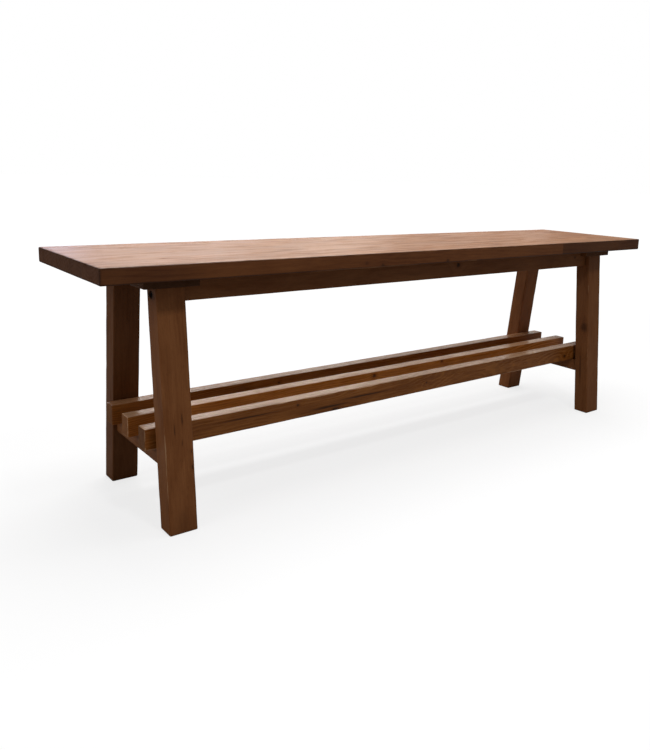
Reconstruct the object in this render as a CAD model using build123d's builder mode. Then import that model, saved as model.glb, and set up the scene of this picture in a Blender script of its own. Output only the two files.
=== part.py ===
"""A long wooden bench with splayed legs and a slatted shelf.

Millimetres. +X runs along the seat, the front is -Y, +Z is up, and the origin is on the floor
under the middle of the seat. Two leg frames stand under a glued seat. Each has a front and a back
leg that lean in towards the top, a cross rail between them and a cleat that their tops meet. Two
aprons run from frame to frame, bolted through the legs, and three slats lie on the cross rails.
"""
import os
from math import cos, radians, tan

from build123d import *

# Seat, glued up from staves
seat_length = 1413
seat_depth = 305
seat_thickness = 26.5
seat_height = 450
seat_edge_radius = 2
stave_count = 4

# Finger joint along the front stave, measured from the right end of the seat
short_stave_length = 325.5
finger_length = 10
finger_count = 12
finger_tip_width = 0.8

# Legs, set in from the ends and the long edges of the seat
leg_width = 50
leg_thickness = 37
leg_splay = 5.5
leg_end_inset = 102.5
foot_inset = 4
leg_edge_radius = 2
foot_chamfer = 1.5
leg_tenon_width = 30
leg_tenon_thickness = 16
leg_tenon_height = 10

# Cleats between the legs and the seat
cleat_side_overhang = 23
cleat_end_overhang = 7.7
cleat_thickness = 16
cleat_edge_radius = 1.5

# Aprons
apron_thickness = 22
apron_height = 42
apron_setback = 10.5
apron_edge_radius = 1.5

# Cross rails under the shelf
rail_width = 38
rail_height = 28
rail_inset = 8
rail_edge_radius = 1.5
rail_tenon_width = 24
rail_tenon_height = 14
rail_tenon_length = 20

# Shelf slats
slat_width = 27
slat_height = 37.5
slat_end_overhang = 15
slat_leg_gap = 7.5
slat_edge_radius = 1.5
slat_count = 3
shelf_height = 169.5

# Leg bolts, their washers and the barrel nuts in the apron ends
bolt_radius = 3
bolt_head_radius = 5
bolt_head_height = 6
bolt_length = 80
bolt_socket_width = 5
bolt_socket_depth = 3
bolt_recess = 2
washer_radius = 6
washer_thickness = 1.6
counterbore_margin = 0.5
nut_radius = 5
nut_length = 14
nut_inset = 30
nut_slot_width = 1.2
nut_slot_depth = 1.5

# Wood screws, driven up from below
screw_head_radius = 4
screw_shank_radius = 2
screw_tip_length = 5
cleat_screw_length = 35
cleat_screw_edge_distance = 12
slat_screw_length = 50

# Dowels between the aprons and the seat
dowel_radius = 4
dowel_length = 30
dowel_count = 4
dowel_end_inset = 119

# Screws, dowels and hidden holes repeat, so their rounds have few flats
hidden_round_sides = 12

# Clearances
joint_clearance = 0.2
hole_clearance = 0.1
bottom_clearance = 1

# Where the pieces meet
seat_underside = seat_height - seat_thickness
leg_top = seat_underside - cleat_thickness
leg_depth = leg_thickness / cos(radians(leg_splay))
leg_outer_x = seat_length / 2 - leg_end_inset
leg_x = leg_outer_x - leg_width / 2
leg_inner_x = leg_outer_x - leg_width
cleat_width = leg_width + 2 * cleat_side_overhang
notch_length = cleat_side_overhang + joint_clearance
stave_width = seat_depth / stave_count
finger_joint_x = seat_length / 2 - short_stave_length
shelf_underside = shelf_height - slat_height
rail_underside = shelf_underside - rail_height
rail_middle = shelf_underside - rail_height / 2
rail_x = leg_outer_x - rail_inset - rail_width / 2
slat_length = 2 * (leg_outer_x + slat_end_overhang)
apron_underside = seat_underside - apron_height
bolt_height = (apron_underside + leg_top) / 2
counterbore_depth = bolt_recess + bolt_head_height + washer_thickness
bolt_seat_x = leg_outer_x - counterbore_depth + washer_thickness
bolt_tip_x = bolt_seat_x - bolt_length
bolt_hole_end_x = bolt_tip_x - bottom_clearance
nut_x = leg_inner_x - nut_inset
screw_head_height = screw_head_radius - screw_shank_radius
dowel_hole_depth = (dowel_length + bottom_clearance) / 2


def leg_outer_y(height):
    """How far the outer face of a leg stands from the middle of the bench at a height."""
    return seat_depth / 2 - foot_inset - height * tan(radians(leg_splay))


def leg_inner_y(height):
    """How far the inner face of a leg stands from the middle of the bench at a height."""
    return leg_outer_y(height) - leg_depth


def spread(end, count):
    """Evenly spaced places from -end to end."""
    return [end * (2 * place / (count - 1) - 1) for place in range(count)]


leg_top_y = (leg_outer_y(leg_top) + leg_inner_y(leg_top)) / 2
cleat_length = 2 * (leg_outer_y(leg_top) + cleat_end_overhang)
apron_y = leg_outer_y(bolt_height) - apron_setback - apron_thickness / 2
rail_tenon_end_y = leg_inner_y(rail_middle) + rail_tenon_length

cleat_screw_x = cleat_width / 2 - cleat_screw_edge_distance
slat_rows = spread(leg_inner_y(shelf_height) - slat_leg_gap - slat_width / 2, slat_count)
dowel_rows = spread(leg_inner_x - dowel_end_inset, dowel_count)
slat_screw_places = [(side * rail_x, y) for side in (-1, 1) for y in slat_rows]
dowel_places = [(x, side * apron_y) for side in (-1, 1) for x in dowel_rows]
cleat_screw_places = [
    (side * leg_x + column * cleat_screw_x, row * stave_width / 2)
    for side in (-1, 1)
    for column in (-1, 1)
    for row in (-1, 1)
]

os.makedirs("parts", exist_ok=True)


def drill(plane, places, radius, depth, taper=0):
    """Cut holes with few flats into the part being made, from a plane along its normal."""
    with BuildSketch(plane) as mouths:
        with Locations(*places):
            RegularPolygon(radius, hidden_round_sides, major_radius=False)
    extrude(mouths.sketch, amount=depth, taper=taper, mode=Mode.SUBTRACT)


def drill_countersunk(plane, places, depth):
    """Cut screw holes from a plane along its normal, with a 45 degree countersink for the head."""
    drill(plane, places, screw_head_radius + hole_clearance, screw_head_height, taper=45)
    drill(plane, places, screw_shank_radius + hole_clearance, depth)


# Seat blank: the whole glued board, eased and drilled before it is parted into its staves
with BuildPart() as seat_blank:
    with BuildSketch(Plane.XY.offset(seat_underside)):
        Rectangle(seat_length, seat_depth)
    extrude(amount=seat_thickness)
    fillet(seat_blank.edges().group_by(Axis.Z)[-1], seat_edge_radius)
    fillet(seat_blank.edges().group_by(Axis.Z)[0], seat_edge_radius)
    drill(
        Plane.XY.offset(seat_underside),
        cleat_screw_places,
        screw_shank_radius + hole_clearance,
        cleat_screw_length - cleat_thickness + bottom_clearance,
    )
    drill(
        Plane.XY.offset(seat_underside),
        dowel_places,
        dowel_radius + hole_clearance,
        dowel_hole_depth,
    )

# The staves behind the front one run the whole length of the seat
stave_front = -seat_depth / 2
whole_staves = ["seat_stave_middle_front", "seat_stave_middle_back", "seat_stave_back"]
for row, name in enumerate(whole_staves, start=1):
    with BuildPart() as stave:
        add(seat_blank.part)
        with BuildSketch(Plane.XY.offset(seat_underside)):
            with Locations((0, stave_front + (row + 1 / 2) * stave_width)):
                Rectangle(seat_length, stave_width)
        extrude(amount=seat_thickness, mode=Mode.INTERSECT)
    stave.part.label = name
    export_step(stave.part, f"parts/{name}.step")

# The front stave is two lengths that meet in a zigzag of fingers, seen from above
finger_pitch = stave_width / finger_count
finger_slope = finger_pitch / 2 - finger_tip_width
finger_root_x = finger_joint_x + finger_length
fingers = []
for finger in range(finger_count):
    start = stave_front + finger * finger_pitch
    fingers += [
        (finger_joint_x, start),
        (finger_joint_x, start + finger_tip_width),
        (finger_root_x, start + finger_tip_width + finger_slope),
        (finger_root_x, start + finger_pitch - finger_slope),
    ]
fingers.append((finger_joint_x, stave_front + stave_width))

for name, end_x in [
    ("seat_stave_front_left", -seat_length / 2),
    ("seat_stave_front_right", seat_length / 2),
]:
    with BuildPart() as stave:
        add(seat_blank.part)
        with BuildSketch(Plane.XY.offset(seat_underside)):
            with BuildLine():
                Polyline(
                    (end_x, stave_front),
                    *fingers,
                    (end_x, stave_front + stave_width),
                    close=True,
                )
            make_face()
        extrude(amount=seat_thickness, mode=Mode.INTERSECT)
    stave.part.label = name
    export_step(stave.part, f"parts/{name}.step")

# Leg blank, drawn as the front left leg: a leaning bar, cut level at both ends
with BuildPart() as leg_blank:
    with BuildSketch(Plane.YZ.offset(-leg_outer_x)):
        with BuildLine():
            Polyline(
                (-leg_outer_y(0), 0),
                (-leg_inner_y(0), 0),
                (-leg_inner_y(leg_top), leg_top),
                (-leg_outer_y(leg_top), leg_top),
                close=True,
            )
        make_face()
    extrude(amount=leg_width)
    fillet(leg_blank.edges().sort_by(SortBy.LENGTH)[-4:], leg_edge_radius)
    chamfer(leg_blank.edges().group_by(Axis.Z)[0], foot_chamfer)
    with BuildSketch(Plane.XY.offset(leg_top)):
        with Locations((-leg_x, -leg_top_y)):
            Rectangle(leg_tenon_width, leg_tenon_thickness)
    extrude(amount=leg_tenon_height)
    with BuildSketch(Plane.XZ):
        with Locations((-rail_x, rail_middle)):
            Rectangle(rail_tenon_width + 2 * joint_clearance, rail_tenon_height + 2 * joint_clearance)
    extrude(amount=rail_tenon_end_y + bottom_clearance, mode=Mode.SUBTRACT)
    with Locations(Plane(origin=(-leg_outer_x, -apron_y, bolt_height), z_dir=(-1, 0, 0))):
        Hole(washer_radius + counterbore_margin, depth=counterbore_depth)
    drill(
        Plane.YZ.offset(-leg_outer_x),
        [(-apron_y, bolt_height)],
        bolt_radius + hole_clearance,
        leg_width,
    )

# The four legs
for name, x_side, y_side in [
    ("leg_front_left", -1, -1),
    ("leg_front_right", 1, -1),
    ("leg_back_left", -1, 1),
    ("leg_back_right", 1, 1),
]:
    with BuildPart() as leg:
        add(leg_blank.part)
        if x_side > 0:
            mirror(about=Plane.YZ, mode=Mode.REPLACE)
        if y_side > 0:
            mirror(about=Plane.XZ, mode=Mode.REPLACE)
    leg.part.label = name
    export_step(leg.part, f"parts/{name}.step")

# Cleats, mortised for the legs and screwed up into the seat
for name, side in [("cleat_left", -1), ("cleat_right", 1)]:
    with BuildPart() as cleat:
        with BuildSketch(Plane.XY.offset(leg_top)):
            with Locations((side * leg_x, 0)):
                Rectangle(cleat_width, cleat_length)
        extrude(amount=cleat_thickness)
        fillet(cleat.edges().group_by(Axis.Z)[0], cleat_edge_radius)
        with BuildSketch(Plane.XY.offset(leg_top)):
            with Locations((side * leg_x, -leg_top_y), (side * leg_x, leg_top_y)):
                Rectangle(
                    leg_tenon_width + 2 * joint_clearance,
                    leg_tenon_thickness + 2 * joint_clearance,
                )
        extrude(amount=leg_tenon_height + bottom_clearance, mode=Mode.SUBTRACT)
        places = [place for place in cleat_screw_places if place[0] * side > 0]
        drill_countersunk(Plane.XY.offset(leg_top), places, cleat_thickness)
    cleat.part.label = name
    export_step(cleat.part, f"parts/{name}.step")

# Aprons, notched at their upper ends to pass under the cleats
for name, side in [("apron_front", -1), ("apron_back", 1)]:
    with BuildPart() as apron:
        with BuildSketch(Plane.XY.offset(apron_underside)):
            with Locations((0, side * apron_y)):
                Rectangle(2 * leg_inner_x, apron_thickness)
        extrude(amount=apron_height)
        fillet(apron.edges().filter_by(Axis.X).group_by(Axis.Z)[0], apron_edge_radius)
        with BuildSketch(Plane.XY.offset(leg_top)):
            for end in (-1, 1):
                with Locations((end * (leg_inner_x - notch_length / 2), side * apron_y)):
                    Rectangle(notch_length, apron_thickness)
        extrude(amount=cleat_thickness, mode=Mode.SUBTRACT)
        for end in (-1, 1):
            drill(
                Plane.YZ.offset(min(end * leg_inner_x, end * bolt_hole_end_x)),
                [(side * apron_y, bolt_height)],
                bolt_radius + hole_clearance,
                leg_inner_x - bolt_hole_end_x,
            )
            nut_entry = (end * nut_x, side * (apron_y - apron_thickness / 2), bolt_height)
            with Locations(Plane(origin=nut_entry, z_dir=(0, -side, 0))):
                Hole(
                    nut_radius + hole_clearance,
                    depth=(apron_thickness + nut_length) / 2 + bottom_clearance,
                )
        drill(
            Plane.XY.offset(seat_underside - dowel_hole_depth),
            [place for place in dowel_places if place[1] * side > 0],
            dowel_radius + hole_clearance,
            dowel_hole_depth,
        )
    apron.part.label = name
    export_step(apron.part, f"parts/{name}.step")

# Cross rails, tenoned into the legs, with their shoulders cut to the lean of the legs
for name, side in [("cross_rail_left", -1), ("cross_rail_right", 1)]:
    with BuildPart() as cross_rail:
        with BuildSketch(Plane.YZ.offset(side * rail_x - rail_width / 2)):
            with BuildLine():
                Polyline(
                    (-leg_inner_y(shelf_underside), shelf_underside),
                    (leg_inner_y(shelf_underside), shelf_underside),
                    (leg_inner_y(rail_underside), rail_underside),
                    (-leg_inner_y(rail_underside), rail_underside),
                    close=True,
                )
            make_face()
        extrude(amount=rail_width)
        fillet(cross_rail.edges().filter_by(Axis.Y), rail_edge_radius)
        with BuildSketch(Plane.XZ):
            with Locations((side * rail_x, rail_middle)):
                Rectangle(rail_tenon_width, rail_tenon_height)
        extrude(amount=rail_tenon_end_y, both=True)
        places = [place for place in slat_screw_places if place[0] * side > 0]
        drill_countersunk(Plane.XY.offset(rail_underside), places, rail_height)
    cross_rail.part.label = name
    export_step(cross_rail.part, f"parts/{name}.step")

# Shelf slats, lying on the cross rails
for name, y in zip(("slat_front", "slat_middle", "slat_back"), slat_rows):
    with BuildPart() as slat:
        with BuildSketch(Plane.XY.offset(shelf_underside)):
            with Locations((0, y)):
                Rectangle(slat_length, slat_width)
        extrude(amount=slat_height)
        fillet(slat.edges().filter_by(Axis.X), slat_edge_radius)
        drill(
            Plane.XY.offset(shelf_underside),
            [(-rail_x, y), (rail_x, y)],
            screw_shank_radius + hole_clearance,
            slat_screw_length - rail_height + bottom_clearance,
        )
    slat.part.label = name
    export_step(slat.part, f"parts/{name}.step")

# Leg bolts with a socket head, drawn along X for the left end
with BuildPart() as bolt_blank:
    with BuildSketch(Plane.YZ.offset(-bolt_seat_x)):
        Circle(bolt_head_radius)
    extrude(amount=-bolt_head_height)
    with BuildSketch(Plane.YZ.offset(-bolt_seat_x)):
        Circle(bolt_radius)
    extrude(amount=bolt_length)
    with BuildSketch(Plane.YZ.offset(-bolt_seat_x - bolt_head_height)):
        RegularPolygon(bolt_socket_width / 2, 6, major_radius=False)
    extrude(amount=bolt_socket_depth, mode=Mode.SUBTRACT)

with BuildPart() as leg_bolts:
    with Locations((0, -apron_y, bolt_height), (0, apron_y, bolt_height)):
        add(bolt_blank.part)
        add(bolt_blank.part.mirror(Plane.YZ))
leg_bolts.part.label = "leg_bolts"
export_step(leg_bolts.part, "parts/leg_bolts.step")

# Washers under the bolt heads
with BuildPart() as bolt_washers:
    for end in (-1, 1):
        with BuildSketch(Plane.YZ.offset(end * bolt_seat_x)):
            with Locations((-apron_y, bolt_height), (apron_y, bolt_height)):
                Circle(washer_radius)
                RegularPolygon(
                    bolt_radius + hole_clearance,
                    hidden_round_sides,
                    major_radius=False,
                    mode=Mode.SUBTRACT,
                )
        extrude(amount=-end * washer_thickness)
bolt_washers.part.label = "bolt_washers"
export_step(bolt_washers.part, "parts/bolt_washers.step")

# Barrel nuts, slotted at the end that shows behind the aprons
with BuildPart() as nut_blank:
    with BuildSketch(Plane.XZ):
        Circle(nut_radius)
    extrude(amount=nut_length / 2, both=True)
    with BuildSketch(Plane.XZ.offset(-nut_length / 2)):
        Rectangle(2 * nut_radius, nut_slot_width)
    extrude(amount=nut_slot_depth, mode=Mode.SUBTRACT)
    drill(Plane.YZ.offset(-nut_radius), [(0, 0)], bolt_radius + hole_clearance, 2 * nut_radius)

with BuildPart() as barrel_nuts:
    with Locations((-nut_x, -apron_y, bolt_height), (nut_x, -apron_y, bolt_height)):
        add(nut_blank.part)
    with Locations((-nut_x, apron_y, bolt_height), (nut_x, apron_y, bolt_height)):
        add(nut_blank.part.mirror(Plane.XZ))
barrel_nuts.part.label = "barrel_nuts"
export_step(barrel_nuts.part, "parts/barrel_nuts.step")


def wood_screw(length):
    """A countersunk wood screw that points up from the origin."""
    with BuildPart() as screw:
        with BuildSketch():
            RegularPolygon(screw_head_radius, hidden_round_sides, major_radius=False)
        extrude(amount=screw_head_height, taper=45)
        with BuildSketch():
            RegularPolygon(screw_shank_radius, hidden_round_sides, major_radius=False)
        extrude(amount=length - screw_tip_length)
        with BuildSketch(Plane.XY.offset(length - screw_tip_length)):
            RegularPolygon(screw_shank_radius, hidden_round_sides, major_radius=False)
        with BuildSketch(Plane.XY.offset(length)):
            RegularPolygon(hole_clearance, hidden_round_sides, major_radius=False)
        loft()
    return screw.part


# Screws up through the cleats into the seat
with BuildPart() as cleat_screws:
    with Locations(*[(x, y, leg_top) for x, y in cleat_screw_places]):
        add(wood_screw(cleat_screw_length))
cleat_screws.part.label = "cleat_screws"
export_step(cleat_screws.part, "parts/cleat_screws.step")

# Screws up through the cross rails into the slats
with BuildPart() as slat_screws:
    with Locations(*[(x, y, rail_underside) for x, y in slat_screw_places]):
        add(wood_screw(slat_screw_length))
slat_screws.part.label = "slat_screws"
export_step(slat_screws.part, "parts/slat_screws.step")

# Dowels between the aprons and the seat
with BuildPart() as apron_dowels:
    with BuildSketch(Plane.XY.offset(seat_underside)):
        with Locations(*dowel_places):
            RegularPolygon(dowel_radius, hidden_round_sides, major_radius=False)
    extrude(amount=dowel_length / 2, both=True)
apron_dowels.part.label = "apron_dowels"
export_step(apron_dowels.part, "parts/apron_dowels.step")
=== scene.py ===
"""The looks of a long wooden bench with splayed legs and a slatted shelf.

Metres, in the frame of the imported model: +X runs along the seat, the front is -Y and +Z is up.
Each timber is a closed skin worked out on a grid in its own measures, s along its grain, a across
it and b through it. It is softened at its arrises, worn and dented, and then cut for its joints.
"""

from dataclasses import dataclass, field
from math import cos, pi, radians, sin, tan

import bmesh
import bpy
import numpy as np
from mathutils import Matrix, Vector


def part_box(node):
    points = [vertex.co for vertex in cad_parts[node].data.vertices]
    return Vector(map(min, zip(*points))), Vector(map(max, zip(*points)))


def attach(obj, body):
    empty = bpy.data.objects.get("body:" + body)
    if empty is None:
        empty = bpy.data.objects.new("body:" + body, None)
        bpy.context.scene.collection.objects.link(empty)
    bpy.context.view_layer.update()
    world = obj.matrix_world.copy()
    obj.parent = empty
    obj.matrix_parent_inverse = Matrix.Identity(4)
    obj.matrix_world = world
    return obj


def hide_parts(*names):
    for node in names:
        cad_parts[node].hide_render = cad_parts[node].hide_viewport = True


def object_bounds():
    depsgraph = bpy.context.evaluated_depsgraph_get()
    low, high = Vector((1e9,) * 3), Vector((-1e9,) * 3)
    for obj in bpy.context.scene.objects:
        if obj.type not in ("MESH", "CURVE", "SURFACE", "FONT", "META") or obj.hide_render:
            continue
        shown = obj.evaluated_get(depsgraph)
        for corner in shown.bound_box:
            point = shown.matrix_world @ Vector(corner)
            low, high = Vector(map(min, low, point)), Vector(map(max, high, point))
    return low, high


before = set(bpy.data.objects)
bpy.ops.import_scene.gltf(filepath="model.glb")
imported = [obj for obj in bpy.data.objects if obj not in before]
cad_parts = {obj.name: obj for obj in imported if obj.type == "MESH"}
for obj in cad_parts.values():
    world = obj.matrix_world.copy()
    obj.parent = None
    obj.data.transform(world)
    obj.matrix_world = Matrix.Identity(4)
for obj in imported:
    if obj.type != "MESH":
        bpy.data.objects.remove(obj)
cad_box = [list(corner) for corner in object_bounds()]

# Measures that the frame doesn't show
leg_splay = radians(5.5)
leg_thickness = 0.037
leg_tenon = (0.015, 0.008)
rail_tenon = (0.012, 0.007)
seat_arris = 0.002
leg_arris = 0.002
small_arris = 0.0015
glued_arris = 0.00012
finger_length = 0.010
finger_count = 12
finger_tip_width = 0.0008
joint_clearance = 0.0002
hole_clearance = 0.0001
bottom_clearance = 0.001

# Bolts, nuts, screws and dowels
bolt_radius = 0.003
bolt_length = 0.080
bolt_head_radius = 0.005
bolt_head_height = 0.006
bolt_socket_width = 0.005
bolt_socket_depth = 0.003
bolt_thread = (0.001, 0.14)
bolt_thread_length = 0.030
counterbore_radius = 0.0065
counterbore_depth = 0.0096
washer_thickness = 0.0016
nut_radius = 0.005
nut_length = 0.014
nut_inset = 0.030
screw_head_radius = 0.004
screw_shank_radius = 0.002
screw_tip_length = 0.005
screw_plain_share = 0.32
screw_core_share = 0.86
screw_thread = (0.002, 0.3)
cleat_screw_length = 0.035
cleat_screw_spread = 0.036
slat_screw_length = 0.050
dowel_radius = 0.004
dowel_length = 0.030
dowel_end_inset = 0.119
dowel_count = 4
flute_count = 16
flute_depth = 0.07
cross_arm = 0.28
drill_sides = 40

# How many marks of each kind a board's material can show, and the radius, length and strength of
# the painted shade round a bolt's hole, a dark mark that makes the shaded hole look wider, which is one of
# them
mark_slots = {"knot": 7, "scuff": 2, "arch": 1}
bolt_hole_shade = (0.0165, 0.62, 1.0)
log_spacing = 1.9

# The skin's grid, and how far its end rings lie on their way to the seam or over the tenon
step_along = 0.005
step_across = 0.007
end_shares = (0.08, 0.4, 0.75, 1)
tenon_shares = (0.1, 0.9, 1)

# The least part of a normal along Y on a glued side, and the angle from which an edge is sharp
glued_facing = 0.9
sharp_angle = radians(32)

# How the timbers are worn
hollow_depth = 0.00016
hollow_wavelength = 0.11
hollow_seed = 5
no_arris = 1.0
arris_wavelength = 0.07
arris_variation = 0.3
dents_per_metre = 6
dent_length = (0.002, 0.009)
dent_width = 0.0022
dent_depth = (0.0002, 0.0005)
dent_seed = 900

# How far drills and other cutters reach past a surface
drill_overcut = 0.002
overcut = 0.01

# Where the timbers stand
seat_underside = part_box("seat_stave_back")[0].z
seat_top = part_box("seat_stave_back")[1].z
leg_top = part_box("cleat_left")[0].z
leg_depth = leg_thickness / cos(leg_splay)
foot_y = -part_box("leg_front_left")[0].y
leg_low, leg_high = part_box("leg_back_right")
cleat_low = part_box("cleat_right")[0]
rail_low, rail_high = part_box("cross_rail_right")
bolt_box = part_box("leg_bolts")
apron_low, apron_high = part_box("apron_back")
slat_low, slat_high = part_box("slat_back")
stave_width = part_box("seat_stave_back")[1].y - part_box("seat_stave_back")[0].y
leg_x = (leg_low.x + leg_high.x) / 2
rail_x = (rail_low.x + rail_high.x) / 2
slat_y = (slat_low.y + slat_high.y) / 2
apron_y = (apron_low.y + apron_high.y) / 2
bolt_height = (bolt_box[0].z + bolt_box[1].z) / 2
bolt_head_x = leg_high.x - counterbore_depth + washer_thickness
bolt_tip_x = bolt_head_x - bolt_length
cleat_thickness = seat_underside - leg_top
rail_thickness = rail_high.z - rail_low.z


def leg_outer_y(height):
    """How far a leg's outer face stands from the middle of the bench at a height."""
    return foot_y - height * tan(leg_splay)


def leg_inner_y(height):
    """How far a leg's inner face stands from the middle of the bench at a height."""
    return leg_outer_y(height) - leg_depth


# Surfaces


def waves(points, seed, wavelength, count=10):
    """A smooth random height between about -1 and 1.

    It is a sum of plane waves: sines of a point's distance along random directions, with
    wavelengths from 0.6 to 1.7 times the one given and random phases.
    """
    draw = np.random.default_rng(seed)
    directions = draw.normal(size=(count, points.shape[-1]))
    directions /= np.linalg.norm(directions, axis=1)[:, None]
    lengths = wavelength * draw.uniform(0.6, 1.7, count)
    phases = draw.uniform(0, 2 * pi, count)
    angles = points @ (directions * (2 * pi / lengths)[:, None]).T + phases
    return np.clip(np.sin(angles).sum(axis=-1) / np.sqrt(count), -1, 1)


def flat_shares(length):
    """Shares of a flat side where its columns stand: close beside each arris, even between."""
    beside = 0.0006
    edge = 0.0025
    count = max(1, round((length - 2 * edge) / step_across))
    middle = np.linspace(edge, length - edge, count + 1)
    return np.concatenate([[beside], middle, [length - beside]]) / length


def section_rings(low, high, radii, arc_steps=5):
    """Rounded rectangles with a radius for each corner, one ring for each row of radii.

    Each ring runs counter-clockwise in a and b from its lower right corner: quarter circles at
    the corners, and columns at fixed shares of the flats between them.
    """
    turn = np.linspace(0, pi / 2, arc_steps + 1)
    corners = [(high[0], low[1]), (high[0], high[1]), (low[0], high[1]), (low[0], low[1])]
    inward = [(-1, 1), (-1, -1), (1, -1), (1, 1)]
    arcs = []
    for corner in range(4):
        centre = np.array(corners[corner]) + radii[:, corner, None] * np.array(inward[corner])
        angles = turn + (corner - 1) * pi / 2
        circle = np.stack([np.cos(angles), np.sin(angles)], axis=-1)
        arcs.append(centre[:, None] + radii[:, corner, None, None] * circle)
    parts = []
    for corner in range(4):
        start = arcs[corner][:, -1:]
        end = arcs[(corner + 1) % 4][:, :1]
        side = high[(corner + 1) % 2] - low[(corner + 1) % 2]
        shares = flat_shares(side - 2 * small_arris)[None, :, None]
        parts += [arcs[corner], start + shares * (end - start)]
    return np.concatenate(parts, axis=1)


@dataclass
class Timber:
    """One board, in its own measures, and where it lay in the log it was sawn from."""

    name: str
    low: tuple
    high: tuple
    grain: str = "x"
    arris: float = small_arris
    glued: tuple = (False, False)
    tenons: tuple = (None, None)
    y_side: int = 1
    seed: int = 0
    pith: tuple = (0.0, 0.06)
    turn: float = 0.0
    tone: float = 0.5
    wear: float = 1.0
    # How far its upward faces are paled towards the bare colour: painted light from above, partly also wear
    rubbed: float = 0.0
    marks: tuple = ()
    cutters: list = field(default_factory=list)

    def to_world(self, own):
        """Own measures to x, y and z. A leg leans, and a rail's shoulders lie on leaning legs."""
        s, a, b = own[..., 0], own[..., 1], own[..., 2]
        if self.grain == "x":
            return np.stack([s, a, b], axis=-1)
        if self.grain == "y":
            return np.stack([a, s, b], axis=-1)
        if self.grain == "leg":
            y = self.y_side * (leg_outer_y(s) - leg_depth / 2) + b
            return np.stack([a, y, s], axis=-1)
        past = np.clip(np.abs(s) - self.high[0], 0, None)
        shoulder = leg_inner_y(b)
        stretch = (rail_high.y - shoulder) / (rail_high.y - self.high[0])
        y = np.sign(s) * (shoulder * np.minimum(np.abs(s) / self.high[0], 1) + past * stretch)
        return np.stack([a, y, b], axis=-1)

    def from_world(self, points):
        """The inverse of to_world, except that a rail keeps its plain distance from the middle."""
        x, y, z = points[..., 0], points[..., 1], points[..., 2]
        if self.grain == "x":
            return np.stack([x, y, z], axis=-1)
        if self.grain == "leg":
            return np.stack([z, x, y - self.y_side * (leg_outer_y(z) - leg_depth / 2)], axis=-1)
        return np.stack([y, x, z], axis=-1)

    def in_log(self, own):
        """A point's place in the log: along it, and two distances from its pith."""
        a = own[..., 1] - (self.low[1] + self.high[1]) / 2
        b = own[..., 2] - (self.low[2] + self.high[2]) / 2
        along = own[..., 0] + log_spacing * self.seed
        across = a * cos(self.turn) - b * sin(self.turn) + self.pith[0]
        through = a * sin(self.turn) + b * cos(self.turn) + self.pith[1]
        return np.stack([along, across, through], axis=-1)

    def marks_of(self, kind):
        """The board's marks of a kind: centres as places in the log, and sizes. Spare ones are blank."""
        rows = []
        for name, centre, radius, length, strength in self.marks:
            if name == kind:
                rows.append((self.in_log(self.from_world(np.array(centre))), (radius, length, strength)))
        spare = mark_slots[kind] - len(rows)
        return rows + [(np.zeros(3), (0.01, 1.0, 0.0))] * spare


def timber_skin(timber):
    """The board's closed skin: rings of points in its own measures.

    Between the ends each ring is the section, with its arris radii varied along the board by a
    smooth random curve. Over an end arris of radius e the ring is drawn in by e(1 - cos t) and
    moved out by e sin t, t from 0 to 90 degrees. Then it is drawn in along straight lines to a
    seam down the middle of the end, or to a tenon's outline, out along the tenon and in again.
    """
    low = np.array(timber.low)
    high = np.array(timber.high)
    middle = (low + high) / 2
    half = (high - low) / 2
    e = timber.arris
    count = round((high[0] - low[0] - 2 * e) / step_along)
    stations = np.linspace(low[0] + e, high[0] - e, count + 1)
    base = np.array([glued_arris if timber.glued[side] else e for side in (1, 1, 0, 0)])
    along = stations[:, None]
    wear = np.stack([waves(along, timber.seed * 10 + k, arris_wavelength) for k in range(4)], axis=1)
    radii = base * (1 + arris_variation * timber.wear * wear)
    body = section_rings(low[1:], high[1:], radii)
    plain = section_rings(low[1:], high[1:], base[None])[0]
    offset = plain - middle[1:]
    draws = np.array([not timber.glued[0], 1.0, not timber.glued[1], 1.0], float)

    def drawn_in(ring, inset):
        inner_low = low[1:] + inset * draws[:2]
        inner_high = high[1:] - inset * draws[2:]
        return inner_low + (ring - low[1:]) * (inner_high - inner_low) / (high[1:] - low[1:])

    def seam(half_a, half_b):
        spare = np.array([max(half_a - half_b, 0), max(half_b - half_a, 0)])
        return middle[1:] + offset / half[1:] * spare

    def end_rings(ring, place, way, tenon):
        angles = np.linspace(0, pi / 2, 6)[1:]
        rings = [(drawn_in(ring, e * (1 - cos(t))), place - way * e * (1 - sin(t))) for t in angles]
        edge = rings[-1][0]
        if tenon is None:
            close = seam(*half[1:])
            return rings + [(edge + share * (close - edge), place) for share in end_shares]
        outline = middle[1:] + offset / half[1:] * np.array(tenon[:2])
        close = seam(*tenon[:2])
        rings += [(edge + share * (outline - edge), place) for share in tenon_shares]
        rings += [(outline, place + way * tenon[2] * share) for share in tenon_shares]
        return rings + [(outline + share * (close - outline), place + way * tenon[2]) for share in (0.1, 1)]

    start = end_rings(body[0], low[0], -1, timber.tenons[0])[::-1]
    stop = end_rings(body[-1], high[0], 1, timber.tenons[1])
    sections = np.concatenate([np.array([r for r, _ in start]), body, np.array([r for r, _ in stop])])
    places = np.concatenate([[p for _, p in start], stations, [p for _, p in stop]])
    along = np.broadcast_to(places[:, None, None], sections.shape[:2] + (1,))
    return np.concatenate([along, sections], axis=2)


def ring_quads(rings, columns):
    """The quads between each ring and the next, joined round at the last column."""
    first = np.arange(rings - 1)[:, None] * columns + np.arange(columns)[None]
    nxt = np.arange(rings - 1)[:, None] * columns + (np.arange(columns) + 1)[None] % columns
    return np.stack([first, nxt, nxt + columns, first + columns], axis=-1).reshape(-1, 4)


def facing_out(points, quads):
    """The points of a closed skin, and its quads turned round if most of them face inward."""
    corners = points[quads]
    spans = np.cross(corners[:, 2] - corners[:, 0], corners[:, 3] - corners[:, 1])
    inward = np.einsum("ij,ij->", spans, corners.mean(axis=1) - points.mean(axis=0)) < 0
    return points, quads[:, ::-1] if inward else quads


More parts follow.
